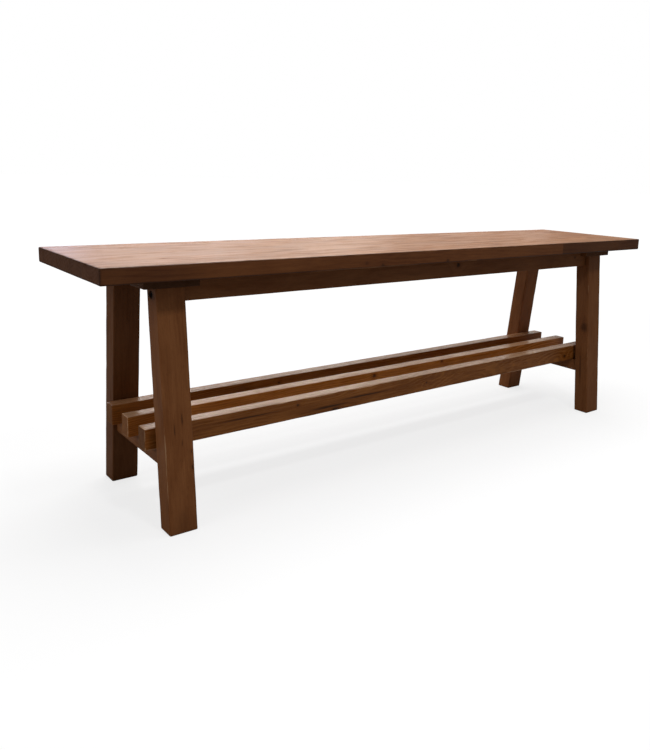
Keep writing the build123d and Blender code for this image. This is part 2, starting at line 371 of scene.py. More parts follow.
def gathered(solids):
    """Several solids as the points and quads of one."""
    starts = np.cumsum([0] + [len(points) for points, _ in solids[:-1]])
    quads = [quads + start for (_, quads), start in zip(solids, starts)]
    return np.concatenate([points for points, _ in solids]), np.concatenate(quads)


def closed_mesh(name, points, quads):
    """A mesh of the points and quads, its doubles merged and its faces turned outward as one."""
    points, quads = facing_out(points, quads)
    mesh = bpy.data.meshes.new(name)
    mesh.from_pydata(points.tolist(), [], quads.tolist())
    work = bmesh.new()
    work.from_mesh(mesh)
    bmesh.ops.remove_doubles(work, verts=work.verts, dist=1e-6)
    work.to_mesh(mesh)
    work.free()
    return mesh


def placed(name, data):
    """A new object with its data, linked to the scene."""
    made = bpy.data.objects.new(name, data)
    bpy.context.scene.collection.objects.link(made)
    return made


def read_points(mesh, kind="co"):
    """The vertices' places, or their normals, as an array."""
    values = np.empty(len(mesh.vertices) * 3, np.float32)
    mesh.vertices.foreach_get(kind, values)
    return values.reshape(-1, 3).astype(float)


def wear_down(mesh, timber):
    """Moves the skin inwards along its normals: slow hollows from planing and sanding, and dents.

    The hollows are half the hollow depth times one plus the waves. A dent is a Gaussian pit with
    its centre on an arris. Glued sides stay flat.
    """
    points = read_points(mesh)
    normals = read_points(mesh, "normal")
    own = timber.from_world(points)
    depth = hollow_depth * (1 + waves(points, hollow_seed, hollow_wavelength)) / 2
    draw = np.random.default_rng(dent_seed + timber.seed)
    count = round(dents_per_metre * (timber.high[0] - timber.low[0]) * timber.wear)
    for _ in range(count):
        share = draw.uniform(0, 1)
        place = np.array([
            timber.low[0] + share * (timber.high[0] - timber.low[0]),
            draw.choice([timber.low[1], timber.high[1]]),
            draw.choice([timber.low[2], timber.high[2]]),
        ])
        size = np.array([draw.uniform(*dent_length), dent_width, dent_width])
        pit = draw.uniform(*dent_depth)
        depth += pit * np.exp(-(((own - place) / size) ** 2).sum(axis=1))
    side = normals[:, 1]
    still = (timber.glued[0] & (side < -glued_facing)) | (timber.glued[1] & (side > glued_facing))
    depth[still] = 0
    mesh.vertices.foreach_set("co", (points - normals * depth[:, None]).astype(np.float32).ravel())
    mesh.update()


def ring_shares(kind, angles, place):
    """Shares of a ring's radius round it: a hexagon, two crossed slots, flutes, a thread or a round.

    A thread is a zigzag of place / pitch - angle / 360 degrees, so its crests wind round the axis.
    """
    if kind == "hexagon":
        return 1 / np.cos((angles + pi / 6) % (pi / 3) - pi / 6)
    if kind == "cross":
        nearer = np.minimum(abs(np.sin(angles)), abs(np.cos(angles)))
        return np.minimum(1, cross_arm / np.maximum(nearer, 1e-6))
    if kind == "fluted":
        return 1 - flute_depth * np.clip(np.cos(angles * flute_count), 0, 1)
    if isinstance(kind, tuple):
        pitch, depth = kind
        turns = place / pitch - angles / (2 * pi)
        return 1 - depth * abs(2 * (turns % 1) - 1)
    return np.ones(len(angles))


def turned(profile, sides=drill_sides, axis="x", at=(0, 0, 0), way=1):
    """A turned solid: rings round an axis, from one pole to the other.

    The profile is places along the axis, each with a radius and the kind of ring.
    """
    angles = np.arange(sides) * 2 * pi / sides
    rows = [(*row, "round") if len(row) == 2 else row for row in profile]
    reach = np.array([radius * ring_shares(kind, angles, place) for place, radius, kind in rows])
    along = np.broadcast_to(np.array([row[0] for row in rows])[:, None] * way, reach.shape)
    first = reach * np.cos(angles)
    second = reach * np.sin(angles)
    order = {"x": (along, first, second), "y": (second, along, first), "z": (first, second, along)}[axis]
    points = np.stack(order, axis=-1).reshape(-1, 3) + np.array(at)
    return points, ring_quads(len(rows), sides)


def threaded(start, end, radius, thread, ends=(1.0, 1.0)):
    """Rows of a turned profile for a thread, its radius growing from one end's share to the other's."""
    count = round((end - start) / thread[0] * 6)
    shares = np.linspace(0, 1, count + 1)
    radii = radius * (ends[0] + (ends[1] - ends[0]) * shares)
    return [(place, reach, thread) for place, reach in zip(start + (end - start) * shares, radii)]


def drilled(radius, depth, **where):
    """A drill's solid, from just outside the surface to its depth."""
    out = -drill_overcut
    return turned([(out, 0), (out, radius), (depth, radius), (depth, 0)], **where)


def bolt_drill(depth, **where):
    """A drill's solid for a bolt: its counterbore and the hole below it, down to a depth."""
    out = -drill_overcut
    hole = bolt_radius + hole_clearance
    return turned([
        (out, 0),
        (out, counterbore_radius),
        (counterbore_depth, counterbore_radius),
        (counterbore_depth, hole),
        (depth, hole),
        (depth, 0),
    ], **where)


def countersink(depth, **where):
    """A drill's solid for a screw: a 45 degree cone for its head and the hole below it."""
    out = -drill_overcut
    hole = screw_shank_radius + hole_clearance
    foot = screw_head_radius - screw_shank_radius
    return turned([(out, 0), (out, hole + foot - out), (foot, hole), (depth, hole), (depth, 0)], **where)


def block(low, high):
    """A plain block as a cutter: two rings of four points, with a pole at each end."""
    low = np.array(low)
    high = np.array(high)
    square = np.array([(0, 0), (1, 0), (1, 1), (0, 1)], float)
    centre = np.full((4, 2), 0.5)
    rings = [(0, centre), (0, square), (1, square), (1, centre)]
    shares = np.concatenate([np.column_stack([ring, np.full(4, level)]) for level, ring in rings])
    return low + shares * (high - low), ring_quads(4, 4)


def cut(piece, solids, keep=False):
    """Takes the solids' space out of a piece, or with keep, leaves only what lies in it."""
    cutters = placed("cutter", closed_mesh("cutter", *gathered(solids)))
    modifier = piece.modifiers.new("cut", "BOOLEAN")
    modifier.operation = "INTERSECT" if keep else "DIFFERENCE"
    modifier.solver = "EXACT"
    modifier.object = cutters
    bpy.context.view_layer.update()
    graph = bpy.context.evaluated_depsgraph_get()
    mesh = bpy.data.meshes.new_from_object(piece.evaluated_get(graph))
    piece.modifiers.clear()
    old = piece.data
    piece.data = mesh
    mesh.name = piece.name
    bpy.data.meshes.remove(old)
    bpy.data.objects.remove(cutters)


def read_corners(mesh):
    """For each face corner, the number of its vertex and the normal it is shaded with."""
    vertices = np.empty(len(mesh.loops), np.int32)
    mesh.loops.foreach_get("vertex_index", vertices)
    normals = np.empty(len(mesh.loops) * 3, np.float32)
    mesh.corner_normals.foreach_get("vector", normals)
    return vertices, normals.reshape(-1, 3).astype(float)


def add_attribute(mesh, name, kind, values, domain="POINT"):
    """Writes a value for each vertex or face corner under a name that the materials read."""
    attribute = mesh.attributes.new(name, kind, domain)
    key = "vector" if kind == "FLOAT_VECTOR" else "value"
    attribute.data.foreach_set(key, np.asarray(values, np.float32).ravel())


def mark_wood(mesh, log_place, arris, along, tone, rubbed):
    """What the wood materials read.

    At each vertex log_place is its place in the log, arris its distance from the nearest arris and
    tone the board's own shade. At each face corner end_grain is twice its normal's part along the
    grain less 0.7, kept between 0 and 1, and a second value gives how far the face is paled towards
    the bare colour: painted light from above, partly also wear.
    """
    count = len(mesh.vertices)
    add_attribute(mesh, "log_place", "FLOAT_VECTOR", log_place)
    add_attribute(mesh, "arris", "FLOAT", arris)
    add_attribute(mesh, "tone", "FLOAT", np.full(count, tone))
    add_attribute(mesh, "end_grain", "FLOAT", np.clip(abs(along) * 2 - 0.7, 0, 1), "CORNER")
    add_attribute(mesh, "rubbed", "FLOAT", rubbed, "CORNER")


def mark_grain(mesh, timber):
    """Works out a board's values for its material from its points and its shading normals.

    The share by which a face is paled, painted light from above and partly wear, follows the upward
    part of the normal. Wear brings the arrises nearer, by dividing their distance by it, and a leg's
    top end counts as no arris.
    """
    points = read_points(mesh)
    vertices, shaded = read_corners(mesh)
    upward = np.clip(shaded[:, 2] * 2 - 1, 0, 1)
    own = timber.from_world(points)
    normals = timber.from_world(points[vertices] + 0.001 * shaded) - own[vertices]
    normals /= np.linalg.norm(normals, axis=1)[:, None] + 1e-9
    low = np.array(timber.low)
    high = np.array(timber.high)
    if timber.grain == "rail":
        low[0], high[0] = -leg_inner_y(rail_low.z), leg_inner_y(rail_low.z)
    from_low = own - low
    from_high = high - own
    from_low[:, 1] += timber.glued[0] * no_arris
    from_high[:, 1] += timber.glued[1] * no_arris
    from_high[:, 0] += (timber.grain == "leg") * no_arris
    nearest = np.sort(np.minimum(abs(from_low), abs(from_high)), axis=1)[:, 1] / timber.wear
    mark_wood(mesh, timber.in_log(own), nearest, normals[:, 0], timber.tone, timber.rubbed * upward)
    for kind in mark_slots:
        for number, values in enumerate(timber.marks_of(kind)):
            for part, value in zip(("centre", "size"), values):
                add_attribute(mesh, f"{kind}_{number}_{part}", "FLOAT_VECTOR", np.tile(value, (len(own), 1)))


def finish_piece(piece, slot, replaced):
    """Smooth shading with sharp edges, the slot's material, and the nodes that the piece stands for."""
    mesh = piece.data
    mesh.shade_smooth()
    mesh.set_sharp_from_angle(angle=sharp_angle)
    mesh.materials.clear()
    mesh.materials.append(materials[slot])
    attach(piece, "root")
    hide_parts(*replaced)


def build_piece(node, solids, slot):
    """Makes a finished piece of solids for a node, each of them with its faces outward."""
    turned_solids = [facing_out(*solid) for solid in solids]
    piece = placed("fair_" + node, closed_mesh(node, *gathered(turned_solids)))
    finish_piece(piece, slot, [node])
    return piece


def build_timber(timber, slot, kept=None):
    """Makes a board: skin, wear, joints and grain."""
    rings = timber_skin(timber)
    points = timber.to_world(rings).reshape(-1, 3)
    mesh = closed_mesh(timber.name, points, ring_quads(*rings.shape[:2]))
    wear_down(mesh, timber)
    piece = placed("fair_" + timber.name, mesh)
    for solids in timber.cutters:
        cut(piece, solids)
    if kept is not None:
        cut(piece, [kept], keep=True)
    finish_piece(piece, slot, [timber.name])
    mark_grain(piece.data, timber)


# Materials
materials = {}


class Wiring:
    """A short way to add nodes to a tree and join them."""

    def __init__(self, tree):
        self.tree = tree

    def join(self, value, socket):
        if isinstance(value, bpy.types.NodeSocket):
            self.tree.links.new(value, socket)
        else:
            socket.default_value = value

    def put(self, sockets, values):
        for name, value in values.items():
            self.join(value, sockets[name])

    def add(self, kind, inputs=None, **settings):
        node = self.tree.nodes.new(kind)
        for name, value in settings.items():
            setattr(node, name, value)
        self.put(node.inputs, inputs or {})
        return node

    def attribute(self, name, output="Fac"):
        return self.add("ShaderNodeAttribute", attribute_name=name).outputs[output]

    def group(self, tree, values):
        return self.add("ShaderNodeGroup", values, node_tree=tree).outputs

    def math(self, operation, *values, clamp=False):
        node = self.add("ShaderNodeMath", operation=operation, use_clamp=clamp)
        self.put(node.inputs, dict(enumerate(values)))
        return node.outputs[0]

    def times(self, first, second, clamp=False):
        return self.math("MULTIPLY", first, second, clamp=clamp)

    def plus(self, value, *terms):
        """A value with each term added, a mask times its weight."""
        for mask, weight in terms:
            value = self.math("MULTIPLY_ADD", mask, weight, value)
        return value

    def vector(self, operation, *values):
        node = self.add("ShaderNodeVectorMath", operation=operation)
        for number, value in enumerate(values):
            name = 3 if operation == "SCALE" and number == 1 else number
            self.join(value, node.inputs[name])
        return node.outputs["Value" if operation == "LENGTH" else "Vector"]

    def noise(self, place, scale, detail=2.0, roughness=0.5, distortion=0.0):
        stretched = self.vector("MULTIPLY", place, scale)
        values = {"Vector": stretched, "Scale": 1.0, "Detail": detail, "Roughness": roughness}
        return self.add("ShaderNodeTexNoise", {**values, "Distortion": distortion}).outputs

    def rise(self, value, low, high):
        """From 0 at low to 1 at high, smoothly."""
        values = {"Value": value, "From Min": low, "From Max": high}
        return self.add("ShaderNodeMapRange", values, interpolation_type="SMOOTHSTEP").outputs[0]

    def fall(self, value, low, high):
        """From 1 at low to 0 at high, smoothly."""
        return self.math("SUBTRACT", 1.0, self.rise(value, low, high))

    def mix(self, factor, first, second, blend="MIX"):
        node = self.add("ShaderNodeMix", data_type="RGBA", blend_type=blend)
        self.put(node.inputs, {0: factor, 6: first, 7: second})
        return node.outputs[2]

    def shade(self, height, distance, values):
        """Joins the shader to the material's output, with the relief of a height."""
        bump = self.add("ShaderNodeBump", {"Height": height, "Distance": distance, "Strength": 0.5})
        shader = self.add("ShaderNodeBsdfPrincipled", {**values, "Normal": bump.outputs["Normal"]})
        self.add("ShaderNodeOutputMaterial", {"Surface": shader.outputs["BSDF"]})


def new_material(name):
    """A material with an empty tree, listed under its name, and the tree's wiring."""
    material = bpy.data.materials.new(name)
    material.use_nodes = True
    material.node_tree.nodes.clear()
    materials[name] = material
    return Wiring(material.node_tree)


def node_group(name, inputs, outputs):
    """An empty node group: its tree, its wiring, and its inputs and outputs by their names.

    An input's default value gives its kind, by three numbers for a vector and four for a colour.
    Every output is a number but Colour.
    """
    tree = bpy.data.node_groups.new(name, "ShaderNodeTree")
    for socket, default in inputs.items():
        kind = {3: "Vector", 4: "Color"}[len(default)] if isinstance(default, tuple) else "Float"
        made = tree.interface.new_socket(name=socket, in_out="INPUT", socket_type="NodeSocket" + kind)
        made.default_value = default
    for socket in outputs:
        kind = "Color" if socket == "Colour" else "Float"
        tree.interface.new_socket(name=socket, in_out="OUTPUT", socket_type="NodeSocket" + kind)
    w = Wiring(tree)
    return tree, w, w.add("NodeGroupInput").outputs, w.add("NodeGroupOutput").inputs


def make_timber_figure():
    """The figure of sawn wood from a point's place in the log.

    Late wood is a thin line at each growth ring's edge. The rings are circles about a pith that
    wanders slowly along the log, so a board shows straight lines and arches where it cuts them.
    Fibres, pores, stain blotches and mineral streaks are noises drawn out along it.
    """
    tree, w, given, out = node_group(
        "Timber figure",
        {"Place": (0.0, 0.0, 0.0), "Ring width": 0.006, "Wander": 0.05, "Swell": 0.0},
        ["Late wood", "Fibre", "Pores", "Blotches", "Streaks"],
    )
    place = given["Place"]
    drift = w.noise(place, (1.6, 3.0, 3.0), detail=3.0, roughness=0.45)["Color"]
    drift = w.vector("SCALE", w.vector("SUBTRACT", drift, (0.5, 0.5, 0.5)), given["Wander"])
    moved = w.vector("MULTIPLY", w.vector("ADD", place, drift), (0.0, 1.0, 1.0))
    ripple = w.noise(place, (22.0, 60.0, 60.0), detail=3.0)["Fac"]
    radius = w.plus(w.vector("LENGTH", moved), (ripple, 0.003))
    rings = w.math("DIVIDE", w.math("ADD", radius, given["Swell"]), given["Ring width"])
    within = w.math("FRACT", rings)
    number = w.math("FLOOR", rings)
    strength = w.add("ShaderNodeTexWhiteNoise", {"W": number}, noise_dimensions="1D").outputs["Value"]
    fading = w.noise(place, (5.0, 30.0, 30.0), detail=2.0)["Fac"]
    strength = w.times(w.plus(0.3, (strength, 0.7)), w.rise(fading, 0.3, 0.6))
    late = w.math("SUBTRACT", w.rise(within, 0.35, 0.8), w.rise(within, 0.85, 1.0))
    fine = w.noise(place, (30.0, 700.0, 700.0), detail=3.0, roughness=0.6)["Fac"]
    broad = w.noise(place, (9.0, 210.0, 210.0), detail=2.0, roughness=0.6)["Fac"]
    fleck = w.noise(place, (110.0, 800.0, 800.0), detail=2.0, roughness=0.7)["Fac"]
    blotch = w.noise(place, (7.0, 26.0, 26.0), detail=5.0, roughness=0.6, distortion=0.6)["Fac"]
    streak = w.noise(place, (11.0, 90.0, 90.0), detail=3.0, roughness=0.6)["Fac"]
    w.put(out, {
        "Late wood": w.times(late, strength),
        "Fibre": w.rise(w.plus(w.times(broad, 0.45), (fine, 0.55)), 0.33, 0.67),
        "Pores": w.rise(fleck, 0.56, 0.72),
        "Blotches": w.rise(blotch, 0.32, 0.68),
        "Streaks": w.rise(streak, 0.50, 0.66),
    })
    return tree


def make_knot():
    """A knot or a streak: a dark heart, a halo round it, and the swell it gives to the rings.

    Its share is a point's distance from the centre, measured shorter along the log, over its
    radius, with ragged noise added.
    """
    tree, w, given, out = node_group(
        "Knot",
        {"Place": (0.0, 0.0, 0.0), "Centre": (0.0, 0.0, 0.0), "Radius": 0.006, "Length": 1.6,
         "Strength": 1.0},
        ["Heart", "Halo", "Swell"],
    )
    away = w.vector("SUBTRACT", given["Place"], given["Centre"])
    parts = w.add("ShaderNodeSeparateXYZ", {"Vector": away}).outputs
    along = w.math("DIVIDE", parts[0], given["Length"])
    away = w.add("ShaderNodeCombineXYZ", {"X": along, "Y": parts[1], "Z": parts[2]}).outputs[0]
    away = w.vector("SCALE", away, w.math("DIVIDE", 1.0, given["Radius"]))
    ragged = w.noise(away, (0.9, 0.9, 0.9), detail=3.0, roughness=0.6)["Color"]
    ragged = w.vector("SCALE", w.vector("SUBTRACT", ragged, (0.5, 0.5, 0.5)), 1.1)
    share = w.vector("LENGTH", w.vector("ADD", away, ragged))
    bell = w.math("EXPONENT", w.times(w.math("POWER", share, 2.0), -0.12))
    marks = {
        "Heart": w.fall(share, 0.25, 1.0),
        "Halo": w.fall(share, 0.7, 2.4),
        "Swell": w.times(w.times(bell, given["Radius"]), 1.3),
    }
    for name, mask in marks.items():
        w.join(w.times(mask, given["Strength"]), out[name])
    return tree


def make_worn_and_shaded_arris():
    """Where stain has worn off an arris: a ragged line that comes and goes along it.

    Where the arris is scuffed, the line is whole and reaches further. The second output is painted
    shade: a dark line close along every arris, standing in for the shade a rounded arris catches.
    """
    tree, w, given, out = node_group(
        "Worn and shaded arris",
        {"Distance": 1.0, "Place": (0.0, 0.0, 0.0), "Reach": 0.0022, "Scuffed": 0.0},
        ["Worn", "Painted arris shade"],
    )
    ragged = w.noise(given["Place"], (70.0, 300.0, 300.0), detail=4.0, roughness=0.7)["Fac"]
    patches = w.noise(given["Place"], (8.0, 20.0, 20.0), detail=3.0, roughness=0.6)["Fac"]
    patches = w.plus(0.25, (w.rise(patches, 0.42, 0.66), 0.75))
    reach = w.plus(w.times(given["Reach"], patches), (given["Scuffed"], 0.0022))
    near = w.math("SUBTRACT", w.times(w.plus(0.3, (ragged, 1.4)), reach), given["Distance"])
    share = w.math("MAXIMUM", patches, given["Scuffed"])
    w.join(w.times(w.rise(near, 0.0, 0.0009), share, clamp=True), out["Worn"])
    # A dark line close along every arris: painted shade
    w.join(w.fall(given["Distance"], 0.0, 0.004), out["Painted arris shade"])
    return tree


def make_stained_finish():
    """The colour, roughness and relief of stained and oiled wood from its figure and marks."""
    masks = ("Late wood", "Fibre", "Pores", "Blotches", "Streaks", "Heart", "Halo", "End grain",
             "Worn", "Painted arris shade", "Tone", "Lit and rubbed")
    dark = (0.018, 0.006, 0.003, 1.0)
    amounts = {"Figure": 0.2, "Fibring": 0.3, "Blotching": 0.5, "Sheen": 0.4, "Arris shade strength": 0.2}
    tree, w, given, out = node_group(
        "Stained finish",
        dict.fromkeys(masks, 0.0) | dict.fromkeys(("Pale", "Deep", "Bare and lit"), dark) | amounts,
        ["Colour", "Roughness", "Relief"],
    )
    depth = w.plus(
        w.times(given["Late wood"], given["Figure"]),
        (w.math("SUBTRACT", 0.5, given["Fibre"]), given["Fibring"]),
        (w.math("SUBTRACT", given["Blotches"], 0.5), given["Blotching"]),
        (given["Streaks"], 0.12),
    )
    colour = w.mix(w.math("ADD", depth, 0.45, clamp=True), given["Pale"], given["Deep"])
    shade = w.plus(0.7, (given["Tone"], 0.6))
    shade = w.add("ShaderNodeCombineXYZ", {"X": shade, "Y": shade, "Z": shade}).outputs[0]
    colour = w.mix(1.0, colour, shade, blend="MULTIPLY")
    colour = w.mix(w.times(given["Pores"], 0.2), colour, dark)
    colour = w.mix(given["End grain"], colour, (0.62, 0.70, 1.00, 1.0), blend="MULTIPLY")
    # Upward faces are paled towards the bare colour: painted light from above, partly also wear
    lit_bareness = w.plus(0.95, (given["Fibre"], 0.6), (given["Blotches"], -0.30),
                      (given["Late wood"], -0.55), (given["Streaks"], -0.36))
    colour = w.mix(w.times(given["Lit and rubbed"], lit_bareness, clamp=True), colour, given["Bare and lit"])
    # The arris line below is painted shade; the halo, heart and worn arris are the wood's own marks
    layers = (
        (given["Halo"], 0.5, given["Deep"]),
        (given["Heart"], 0.85, dark),
        (given["Painted arris shade"], given["Arris shade strength"], dark),
        (given["Worn"], 0.85, given["Bare and lit"]),
    )
    for mask, share, top in layers:
        colour = w.mix(w.times(mask, share), colour, top)
    rough = w.plus(given["Sheen"], (given["Late wood"], 0.08), (given["Streaks"], 0.12),
                   (given["Fibre"], 0.08), (given["Worn"], 0.15), (given["End grain"], 0.3))
    relief = w.plus(w.times(given["Fibre"], 0.5), (given["Pores"], -0.5))
    w.put(out, {"Colour": colour, "Roughness": rough, "Relief": relief})
    return tree


timber_figure = make_timber_figure()
knot_mark = make_knot()
worn_and_shaded_arris = make_worn_and_shaded_arris()
stained_finish = make_stained_finish()


def wood(name, pale, deep, bare_and_lit, ring_width, wander, figure, fibring, blotching, sheen, reach,
         arris_shade=0.1, gloss=1.3, marked=True):
    """A stained wood: the figure, its knots, worn arrises and finish, joined to the shader.

    A knot is a dark heart with a halo, an arch only swells the rings, and a scuff wears the arris.
    """
    w = new_material(name)
    place = w.attribute("log_place", "Vector")
    heart = 0.0
    halo = 0.0
    swell = 0.0
    scuffed = 0.0
    slots = [(kind, number) for kind in mark_slots for number in range(mark_slots[kind])] if marked else []
    for kind, number in slots:
        centre = w.attribute(f"{kind}_{number}_centre", "Vector")
        size = w.attribute(f"{kind}_{number}_size", "Vector")
        size = w.add("ShaderNodeSeparateXYZ", {"Vector": size}).outputs
        mark = w.group(knot_mark, {"Place": place, "Centre": centre, "Radius": size[0], "Length": size[1],
                                   "Strength": size[2]})
        if kind == "scuff":
            scuffed = w.math("MAXIMUM", scuffed, mark["Halo"])
        else:
            swell = w.math("ADD", swell, mark["Swell"])
        if kind == "knot":
            heart = w.math("MAXIMUM", heart, mark["Heart"])
            halo = w.math("MAXIMUM", halo, mark["Halo"])
    lines = w.group(timber_figure, {"Place": place, "Ring width": ring_width, "Wander": wander,
                                    "Swell": swell})
    # The arris group also gives a painted shade line along each arris
    edges = w.group(worn_and_shaded_arris, {"Distance": w.attribute("arris"), "Place": place, "Reach": reach,
                                 "Scuffed": scuffed})
    finish = w.group(stained_finish, {
        **{output.name: output for output in (*lines, *edges)},
        "Heart": heart,
        "Halo": halo,
        "End grain": w.attribute("end_grain"),
        "Tone": w.attribute("tone"),
        "Lit and rubbed": w.attribute("rubbed"),
        "Pale": (*pale, 1),
        "Deep": (*deep, 1),
        "Bare and lit": (*bare_and_lit, 1),
        "Figure": figure,
        "Fibring": fibring,
        "Blotching": blotching,
        "Sheen": sheen,
        "Arris shade strength": arris_shade,
    })
    w.shade(finish["Relief"], 0.0002, {
        "Base Color": finish["Colour"],
        "Roughness": finish["Roughness"],
        "IOR": gloss,
    })


def steel(name, colour, metallic, roughness, mark):
    """Turned steel with fine tool marks or a blackened skin, from a noise on its own place."""
    w = new_material(name)
    place = w.add("ShaderNodeTexCoord").outputs["Object"]
    marks = w.noise(place, (mark, mark, mark), detail=3.0, roughness=0.6)["Fac"]
    tint = w.mix(w.times(marks, 0.5), (*colour, 1), (*[0.55 * c for c in colour], 1))
    rough = w.plus(roughness, (marks, 0.25))
    w.shade(marks, 0.00005, {"Base Color": tint, "Metallic": metallic, "Roughness": rough})


# The boards


def node_timber(name, **values):
    """A timber that fills its node's box, with its grain along X."""
    low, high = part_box(name)
    return Timber(name, tuple(low), tuple(high), **values)


seat_low, seat_high = (np.array(corner) for corner in cad_box)
finger_joint_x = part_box("seat_stave_front_right")[0].x
stave_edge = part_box("seat_stave_front_right")[1].y
seat_front = seat_low[1]

# Where the screws, dowels and barrel nuts stand
cleat_screw_places = [
    (side * leg_x + column * cleat_screw_spread, row * stave_width / 2)
    for side in (-1, 1)
    for column in (-1, 1)
    for row in (-1, 1)
]
slat_screw_places = [(side * rail_x, row * slat_y) for side in (-1, 1) for row in (-1, 0, 1)]
dowel_columns = np.linspace(dowel_end_inset - leg_low.x, leg_low.x - dowel_end_inset, dowel_count)
dowel_places = [(x, side * apron_y) for side in (-1, 1) for x in dowel_columns]
nut_x = leg_low.x - nut_inset


def holes_within(board, places, radius, depth, height, way=1):
    """Holes up or down from a height, at the places that lie within a board in x and y."""
    return [
        drilled(radius + hole_clearance, depth, axis="z", at=(x, y, height), way=way)
        for x, y in places
        if board.low[0] < x < board.high[0] and board.low[1] < y < board.high[1]
    ]


def pilot_holes(board, places, length, thickness, height):
    """Holes up from a height for the tips of screws that come through a thickness of wood."""
    return holes_within(board, places, screw_shank_radius, length - thickness + bottom_clearance, height)


def dowel_holes(board, way):
    """Holes for half of each dowel that stands in a board."""
    depth = (dowel_length + bottom_clearance) / 2
    return holes_within(board, dowel_places, dowel_radius, depth, seat_underside, way)


def screw_holes(board, places):
    """Countersunk holes up through a board, for the screws on its side of the bench."""
    return [
        countersink(board.high[2] - board.low[2] + drill_overcut, axis="z", at=(x, y, board.low[2]))
        for x, y in places
        if x * board.low[1] > 0
    ]


def stave(name, seed, glued, pith, turn, tone, rubbed=0.42, marks=()):
    """A board of the seat, paled on its top: painted light from above, partly also wear."""
    return node_timber("seat_stave_" + name, arris=seat_arris, glued=glued, seed=seed, pith=pith,
                       turn=turn, tone=tone, rubbed=rubbed, marks=marks)


seat_boards = [
    stave("front_left", 1, glued=(False, True), pith=(0.01, -0.045), turn=0.2, tone=0.66, marks=(
        ("knot", (-0.660, seat_front, 0.4350), 0.0300, 5.0, 0.3),
        ("knot", (0.000, seat_front, 0.4277), 0.0045, 1.3, 0.7),
        ("knot", (-0.173, seat_front, 0.4272), 0.0050, 1.2, 0.6),
        ("knot", (-0.212, seat_front, 0.4332), 0.0045, 1.2, 0.35),
        ("scuff", (-0.200, seat_front, 0.4240), 0.0060, 14.0, 0.7),
        ("scuff", (0.0740, seat_front, 0.4240), 0.0040, 3.0, 0.8),
    )),
    stave("front_right", 2, glued=(False, True), pith=(-0.03, 0.05), turn=0.1, tone=-0.05, rubbed=0.55),
    stave("middle_front", 3, glued=(True, True), pith=(0.02, 0.06), turn=-0.15, tone=0.47),
    stave("middle_back", 4, glued=(True, True), pith=(-0.015, -0.05), turn=0.3, tone=0.55),
    stave("back", 5, glued=(True, False), pith=(0.03, 0.05), turn=0.1, tone=0.62),
]
for board in seat_boards:
    pilots = pilot_holes(board, cleat_screw_places, cleat_screw_length, cleat_thickness, seat_underside)
    board.cutters = [pilots + dowel_holes(board, 1)]

# The front stave's two lengths start as whole staves, because the finger joint is cut out of them
front_left, front_right = seat_boards[:2]
front_left.high = (seat_high[0], *front_left.high[1:])
front_right.low = (seat_low[0], *front_right.low[1:])


def leg_timber(name, x_side, y_side, seed, marks=(), **values):
    """A leg's board, upright in its own measures, with its tenon at the top and painted shade round its bolt
    hole.
    """
    low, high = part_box(name)
    own_low = (0.0, low.x, -leg_depth / 2)
    own_high = (leg_top, high.x, leg_depth / 2)
    tenon = (*leg_tenon, high.z - leg_top)
    face = low.x if x_side < 0 else high.x
    bolt_place = (face, y_side * apron_y, bolt_height)
    # Its first mark is painted shade round the bolt hole
    leg = Timber(name, own_low, own_high, grain="leg", arris=leg_arris, tenons=(None, tenon),
                 y_side=y_side, seed=seed, wear=0.6, marks=(("knot", bolt_place, *bolt_hole_shade), *marks),
                 **values)
    bolt_hole = bolt_drill(high.x - low.x + drill_overcut, axis="x", at=bolt_place, way=-x_side)
    middle = (rail_low + rail_high) / 2
    wide, tall = (size + joint_clearance for size in rail_tenon)
    reach = rail_high.y + bottom_clearance
    mortise = block(
        (x_side * middle.x - wide, min(0, y_side * reach), middle.z - tall),
        (x_side * middle.x + wide, max(0, y_side * reach), middle.z + tall),
    )
    leg.cutters = [[bolt_hole, mortise]]
    return leg


legs = [
    leg_timber("leg_front_left", -1, -1, 6, pith=(0.02, 0.05), turn=0.3, tone=0.60, marks=(
        ("knot", (-0.5720, -0.1300, 0.1920), 0.0016, 9.0, 0.9),
        ("knot", (-0.5858, -0.1315, 0.1760), 0.0016, 9.0, 0.7),
        ("knot", (-0.5735, -0.1338, 0.1527), 0.0013, 7.0, 0.6),
        ("knot", (-0.5585, -0.1355, 0.1360), 0.0016, 3.0, 0.7),
        ("knot", (-0.5582, -0.1380, 0.1088), 0.0020, 3.0, 0.9),
        ("knot", (-0.5800, -0.1480, 0.0100), 0.0240, 1.7, 0.22),
        ("scuff", (-0.6040, -0.1370, 0.1150), 0.0060, 8.0, 0.8),
    )),
    leg_timber("leg_front_right", 1, -1, 7, pith=(-0.03, 0.04), turn=-0.2, tone=0.36, marks=(
        ("knot", (0.556, -0.1156, 0.2243), 0.0130, 1.5, 0.7),
        ("knot", (0.564, -0.1165, 0.2140), 0.0100, 1.4, 0.6),
        ("knot", (0.551, -0.1145, 0.2400), 0.0070, 2.4, 0.4),
        ("knot", (0.554, -0.1160, 0.1150), 0.0030, 18.0, 0.6),
    )),
    leg_timber("leg_back_left", -1, 1, 8, pith=(0.01, -0.05), turn=0.5, tone=-0.05),
    leg_timber("leg_back_right", 1, 1, 9, pith=(0.04, 0.03), turn=0.1, tone=1.2),
]

